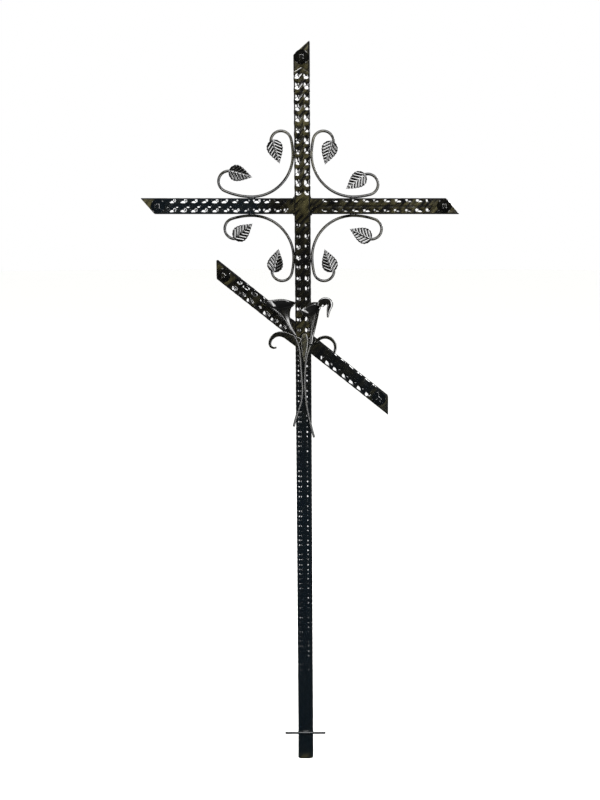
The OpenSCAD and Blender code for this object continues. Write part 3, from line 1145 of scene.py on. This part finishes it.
@dataclass
class CornerWork:
    """Four C-scrolls, each with two birch leaves and its welds."""

    layout: Layout
    bead_half: float = 9.0  # half the length of a bead between a scroll and a bar
    toe: float = 0.6  # how far the beads in the crossing's corners stand out
    crossing_half: float = 19.0

    def make(self, shop: Shop) -> None:
        """Make the ironwork of all four corners."""
        face, cross_z = self.layout.face, self.layout.cross_z
        for number, corner in enumerate(CORNERS):
            scroll = Scroll(corner, face, cross_z)
            scroll.make(shop, 3.0 + 5.0 * number)
            for at_arm, where in enumerate(("post", "arm")):
                BirchLeaf(
                    f"leaf_{corner.name}_{where}", corner, at_arm, scroll.end(at_arm), cross_z
                ).make(shop)
            side, level = corner.side, corner.level
            x, z = side * face, cross_z + level * face
            near, past = scroll.belly_at() - self.bead_half, scroll.belly_at() + self.bead_half
            toe_x, toe_z = x + self.toe * side, z + self.toe * level
            half = self.crossing_half
            near_z, past_z = cross_z + level * near, cross_z + level * past
            beads = (
                ("post", (x, 0, near_z), (x, 0, past_z), 2.6, 0.08, 0.3),
                ("arm", (side * near, 0, z), (side * past, 0, z), 2.6, 0.08, 7.3),
                ("crossing", (toe_x, half, toe_z), (toe_x, -half, toe_z), 3.0, 0.3, 12.1),
            )
            for where, start, end, radius, extra, seed in beads:
                Weld(
                    f"weld_{corner.name}_{where}", Vector(start), Vector(end), radius,
                    seed=number + seed, extra=extra,
                ).make(shop)


@dataclass
class Weld:
    """A weld bead: overlapping ripples run along a line, tapered at both ends."""

    name: str
    start: Vector
    end: Vector
    radius: float
    ripple: float = 2.6
    step: float = 0.6
    around: int = 14
    seed: float = 0.0
    extra: float = 0.08

    def make(self, shop: Shop) -> None:
        """Run the bead."""
        way = self.end - self.start
        length = way.length
        way = way.normalized()
        side = way.orthogonal().normalized()
        other = way.cross(side)
        count = max(14, int(length / self.step))
        points = []
        for i in range(count + 1):
            q = i / count
            body = math.sqrt(max(0.0, 1 - (2 * q - 1) ** 4)) * 0.92 + 0.08
            wave = 1 + 0.1 * math.cos(2 * math.pi * q * length / self.ripple)
            middle = self.start + way * (q * length)
            for v in turns(self.around):
                out = side * math.cos(v) + other * math.sin(v)
                lump = 1 + 0.18 * noise.noise((middle + out * 3) / 4.0 + Vector((self.seed,) * 3))
                points.append(tuple(middle + out * (self.radius * body * wave * lump)))
        shop.piece(
            self.name, np.array(points), tube_faces(count + 1, self.around), Slot.ROD,
            extra=self.extra, flat_over=70.0,
        )


# ---------------------------------------------------------------- callas


@dataclass
class Calla:
    """A flower rolled from one sheet: its two edges in front view, and how its rim moves."""

    node: str
    left: tuple[tuple[float, float], ...]
    right: tuple[tuple[float, float], ...]
    dip: float
    lift: float
    wave: float
    fold: tuple[float, float]  # where a pressed fold leaves the stem and how far round it leans
    fold_high: float = 4.2
    fold_half: float = 0.16  # in radians round the flower
    lip_r: float = 2.6  # radius of the rolled lip
    deep: float = 0.47  # how far it bulges, as a share of its width
    dull: float = 0.35
    sheet: float = 1.8
    back: float = ON_FRONT
    rows: int = 60
    around: int = 96

    def surface(self) -> tuple[np.ndarray, np.ndarray]:
        """Outer points of the flower, row by row from the stem to the rim, and its crests."""
        t = np.linspace(0.0, 1.0, self.rows)[:, None]
        v = np.linspace(0.0, 2 * np.pi, self.around, endpoint=False)[None, :]
        u = t * (1 - self.dip * ((1 - np.cos(v)) / 2) * t)
        a, b = bezier(self.left, u), bezier(self.right, u)
        half = np.linalg.norm(b - a, axis=-1) / 2
        sway = np.sin(v)[..., None] * np.ones_like(t)[..., None]
        middle = (a + b) / 2 + (b - a) / 2 * sway
        ripple = self.wave * np.sin(5 * v + math.radians(40)) * t**5
        pleats = 0.5 * np.sin(9 * v) * smooth(0.2, 0.9, t)
        x = middle[..., 0]
        z = middle[..., 1] + self.lift * t**3 * (1 + np.cos(v)) / 2 + ripple
        away = v - (np.pi + self.fold[0] + self.fold[1] * t)
        fold = self.fold_high * np.exp(-((away / self.fold_half) ** 2)) * smooth(0.1, 0.5, t)
        front = half * self.deep * (1 - np.cos(v)) + pleats * (0.5 - 0.5 * np.cos(v)) + fold
        points = np.stack([x, self.back - front, z], -1)
        return points, np.clip(0.5 + pleats, 0, 1)

    def make(self, shop: Shop) -> None:
        """Roll the flower and fix it on its stem."""
        outer, high = self.surface()
        # The lining is the same sheet, moved in by its thickness
        along = np.gradient(outer, axis=0)
        round_way = np.roll(outer, -1, axis=1) - np.roll(outer, 1, axis=1)
        normal = np.cross(along, round_way)
        normal /= np.maximum(np.linalg.norm(normal, axis=-1, keepdims=True), 1e-9)
        centre = outer.mean(axis=1, keepdims=True)
        sign = np.sign((normal * (centre - outer)).sum(-1, keepdims=True).mean())
        inner = outer + normal * sign * self.sheet
        inner[:, :, 1] = np.minimum(inner[:, :, 1], self.back)
        skip = 10  # the sheet is rolled tight near the stem, with no room inside
        rings = list(outer) + list(inner[:skip:-1])
        points = np.concatenate(rings)
        proud = np.concatenate([high.ravel(), 0.3 * high[:skip:-1].ravel()])
        # The flared left lip shines inside too, and the rest of the lining takes the dull black
        # finish as painted shade
        row, turn = np.mgrid[0 : len(rings) - 1, 0 : self.around]
        flared = (np.sin(2 * np.pi * turn / self.around) < -0.45) & (row < self.rows + 14)
        in_shade = (row >= self.rows + 3) & ~flared
        shop.piece(
            f"{self.node}_rolled", points, tube_faces(len(rings), self.around), Slot.SHEET,
            self.node, proud, flat_over=70.0, dull=self.dull, shaded_faces=in_shade.ravel(),
        )
        self.lip(shop, outer[-1])

    def lip(self, shop: Shop, rim: np.ndarray) -> None:
        """Roll the rim over into a lip of uneven thickness.

        Args:
            shop: Bench that makes the piece.
            rim: The rim's points, in order round the flower.
        """
        ahead = np.roll(rim, -1, axis=0) - np.roll(rim, 1, axis=0)
        ahead /= np.linalg.norm(ahead, axis=1, keepdims=True)
        out = rim - rim.mean(axis=0)
        out -= (out * ahead).sum(1, keepdims=True) * ahead
        out /= np.linalg.norm(out, axis=1, keepdims=True)
        over = np.cross(ahead, out)
        v = np.linspace(0.0, 2 * np.pi, len(rim), endpoint=False)
        thick = self.lip_r * (1.0 + 0.16 * np.sin(3 * v + self.wave) + 0.05 * np.sin(7 * v))
        around = 12
        turn = np.linspace(0.0, 2 * np.pi, around, endpoint=False)
        cos, sin = np.cos(turn), 0.8 * np.sin(turn)
        rings = [
            rim[i] + thick[i] * (np.outer(cos, out[i]) + np.outer(sin, over[i]))
            for i in range(len(rim))
        ]
        points = np.concatenate(rings)
        points[:, 1] = np.minimum(points[:, 1], self.back + 0.1)
        faces = tube_faces(len(rim), around, looped=True)
        # Painted shade: the lip's lower front stretch takes the dull black finish, so that it
        # hardly shines
        shaded_lip = np.repeat(np.cos(v) < -0.35, around)
        shop.piece(f"{self.node}_lip", points, faces, Slot.SHEET, flat_over=80.0, shaded_faces=shaded_lip)


@dataclass
class Flowers:
    """Two callas with their stems, curled leaves and bract, in front of the footrest."""

    RIGHT_OUTLINE: ClassVar = ((16, 1140), (22, 1190), (20, 1224), (-20, 1223))
    RIGHT_SIDE: ClassVar = ((24, 1140), (31, 1180), (44, 1214), (46, 1258))

    front: float = ON_FRONT
    stem: float = 6.0
    blade: float = 3.0

    def make(self, shop: Shop) -> None:
        """Make the whole spray."""
        Calla(
            "calla_left",
            ((-24, 1163), (-52, 1192), (-74, 1238), (-110, 1245)),
            ((-16, 1163), (-40, 1196), (-38, 1240), (-13, 1243)),
            0.26, 8, 1.0, (-0.1, 1.05),
        ).make(shop)
        Calla(
            "calla_right",
            self.RIGHT_OUTLINE,
            self.RIGHT_SIDE,
            0.3, -2, 1.0, (0.0, -0.9),
        ).make(shop)
        self.tongue(shop)
        stems = (
            ("stem_left", Route((-25.5, 924, 77), ((48, -7), (68, 25), (78, -2), (48, 28)))),
            ("stem_right", Route((27.5, 895, 106), ((70, -5), (70, -10), (50, -6), (56, -17)))),
        )
        for seed, (node, route) in enumerate(stems):
            Bar(
                f"{node}_drawn", route, (self.stem,) * 2, (self.stem,) * 2,
                self.front - self.stem / 2, Slot.ROD, node,
                seed=20.0 + seed, hammered=0.012, extra=0.03,
            ).make(shop)
        blades = (
            ("curl_left", Route((-9.7, 1142.3, 149), ((37, 2), (16, 24), (42, 92), (24, 130))),
             (27, 21, 15, 11, 8, 4.5), 0.0),
            ("curl_right", Route((31, 1143, 48), ((12, -8), (78, -168))), (8, 8.6, 9, 8.2, 7), 0.0),
            ("bract", Route((4, 1166, -91), ((74, 0),)), (11, 20, 18, 14, 8, 1), 0.16),
        )
        for seed, (node, route, widths, dull) in enumerate(blades):
            Bar(
                f"{node}_forged", route, widths, (self.blade,) * 2,
                self.front - self.blade / 2, Slot.SHEET, node,
                seed=30.0 + seed, hammered=0.008, sides=24, extra=0.02 + dull, dull=dull, edge=0.4,
            ).make(shop)

    def tongue(self, shop: Shop) -> None:
        """Make the drooping tongue in which the right flower's rim rolls over."""
        right, left = np.array(self.RIGHT_SIDE, float), np.array(self.RIGHT_OUTLINE, float)
        root = bezier(right, np.array(0.84))
        mouth = bezier(right, np.array(0.95)) - bezier(left, np.array(0.95))
        half = float(np.linalg.norm(mouth)) / 2
        Bar(
            "calla_right_tongue",
            Route((float(root[0]), float(root[1]), 80), ((18, -62), (9, -40), (14, -88), (30, 20))),
            (21, 23, 18, 11, 5), (7.0, 6.0, 4.0),
            self.front - half * Calla.deep, Slot.SHEET,
            seed=41.0, hammered=0.1, extra=0.0, edge=0.8,
        ).make(shop)


# ---------------------------------------------------------------- foot


@dataclass
class Foot:
    """The rod welded across the foot, which keeps the post from turning in the ground."""

    def make(self, shop: Shop) -> None:
        """Make the ground rod and its welds."""
        low, high = box_mm("ground_rod")
        middle = (low + high) / 2
        rod = high.z - low.z
        Bar(
            "ground_rod_cut",
            Route((low.x, middle.z, 0), ((high.x - low.x, 0),)),
            (rod, rod), (rod, rod), middle.y, Slot.ROD, "ground_rod",
            seed=51.0, hammered=0.04, extra=-0.02, end_round=1.0,
        ).make(shop)
        y = middle.y + rod / 2 - 1.0
        for name, dz, half in (("upper", rod / 2, 9.0), ("lower", -rod / 2, 7.0)):
            z = middle.z + dz
            Weld(
                f"weld_ground_rod_{name}", Vector((-half, y, z)), Vector((half, y, z)), 2.4, seed=dz
            ).make(shop)


# ---------------------------------------------------------------- studio


@dataclass
class Studio:
    """White paper sweep, four soft lamps and the camera."""

    lens: float = 51.95
    place: tuple[float, float, float] = (0.119, -2.981, 1.464)
    pitch: float = 9.03
    shift_x: float = -0.0616
    floor_r: float = 30.0
    floor_rings: int = 8
    floor_around: int = 64
    room_light: float = 1.1  # what the white room gives to matt surfaces
    room_gloss: float = 0.02  # black flags keep most of it out of the lacquer's reflections

    def make(self) -> None:
        """Set up the paper, the lamps, the room's light and the camera."""
        bpy.context.scene.view_settings.view_transform = "Standard"
        self.paper()
        self.lamp("lamp_over", (0.1, -2.55, 3.25), (0.0, 0.0, 1.35), 2.8, 1.2, 220.0)
        self.lamp("lamp_left", (-1.6, -2.5, 0.95), (0.0, 0.0, 0.95), 0.35, 2.8, 55.0)
        self.lamp("lamp_right", (1.44, -2.5, 0.95), (0.0, 0.0, 0.95), 1.1, 2.8, 175.0)
        self.lamp("lamp_back", (2.0, 2.6, 2.4), (0.0, 0.0, 1.2), 1.5, 1.5, 90.0)
        self.world()
        self.camera()

    def world(self) -> None:
        """Make the white room: full light on matt surfaces, little of it in reflections."""
        world = bpy.data.worlds.new("white_room")
        tree = blank_tree(world)
        path = add_node(tree, "LightPath")
        share = {"data_type": "FLOAT", 2: self.room_light, 3: self.room_gloss}
        lit = add_node(tree, "Mix", share, {0: path["Is Glossy Ray"]})[0]
        seen = {0: path["Is Camera Ray"], 2: lit}
        strength = add_node(tree, "Mix", {"data_type": "FLOAT", 3: 1.0}, seen)[0]
        white = {"Color": (1.0, 1.0, 1.0, 1.0)}
        glow = add_node(tree, "Background", white, {"Strength": strength})["Background"]
        add_node(tree, "OutputWorld", feeds={"Surface": glow})
        bpy.context.scene.world = world

    def paper(self) -> None:
        """Lay the round white floor."""
        work = bmesh.new()
        rows = []
        for i in range(1, self.floor_rings + 1):
            r = self.floor_r * (i / self.floor_rings) ** 2
            ring = ((r * math.cos(v), r * math.sin(v), 0.0) for v in turns(self.floor_around))
            rows.append([work.verts.new(place) for place in ring])
        work.faces.new(rows[0])
        for one, two in zip(rows, rows[1:]):
            for k in range(self.floor_around):
                j = (k + 1) % self.floor_around
                work.faces.new((one[k], two[k], two[j], one[j]))
        mesh = bpy.data.meshes.new("studio_paper")
        work.to_mesh(mesh)
        work.free()
        mesh.materials.append(StudioPaper().make())
        paper = bpy.data.objects.new("studio_paper", mesh)
        paper.visible_glossy = False
        bpy.context.scene.collection.objects.link(paper)

    def lamp(
        self,
        name: str,
        place: tuple[float, float, float],
        target: tuple[float, float, float],
        wide: float,
        high: float,
        watts: float,
    ) -> None:
        """Hang one soft lamp.

        Args:
            name: Name of the lamp.
            place: Where it hangs, in metres.
            target: What it is turned to.
            wide: Its width.
            high: Its height.
            watts: Its power.
        """
        data = bpy.data.lights.new(name, "AREA")
        data.shape = "RECTANGLE"
        data.size, data.size_y, data.energy = wide, high, watts
        lamp = bpy.data.objects.new(name, data)
        lamp.visible_camera = False
        lamp.location = place
        way = Vector(target) - Vector(place)
        lamp.rotation_mode = "QUATERNION"
        lamp.rotation_quaternion = way.to_track_quat("-Z", "Y")
        bpy.context.scene.collection.objects.link(lamp)

    def camera(self) -> None:
        """Set the camera at the viewer's eye."""
        data = bpy.data.cameras.new("viewer")
        data.lens = self.lens
        data.sensor_width = 36.0
        data.shift_x = self.shift_x
        camera = bpy.data.objects.new("viewer", data)
        camera.location = self.place
        camera.rotation_euler = (math.radians(90.0 - self.pitch), 0.0, 0.0)
        bpy.context.scene.collection.objects.link(camera)
        bpy.context.scene.camera = camera


def main() -> None:
    """Build the cross, piece by piece, and light it."""
    logging.basicConfig(level=logging.INFO, format="%(message)s")
    Studio().make()
    layout = Layout.read()
    shop = Shop(PatinaAndReflection(layout.cross_z, layout.rest_z))
    BarWork(layout).make(shop)
    for place in ("top", "left", "right"):
        Stud(f"stud_{place}").make(shop)
    for place in ("upper", "lower"):
        Stud(f"stud_{place}", REST_SLOPE).make(shop)
    CornerWork(layout).make(shop)
    Flowers().make(shop)
    Foot().make(shop)


if __name__ == "__main__":
    main()
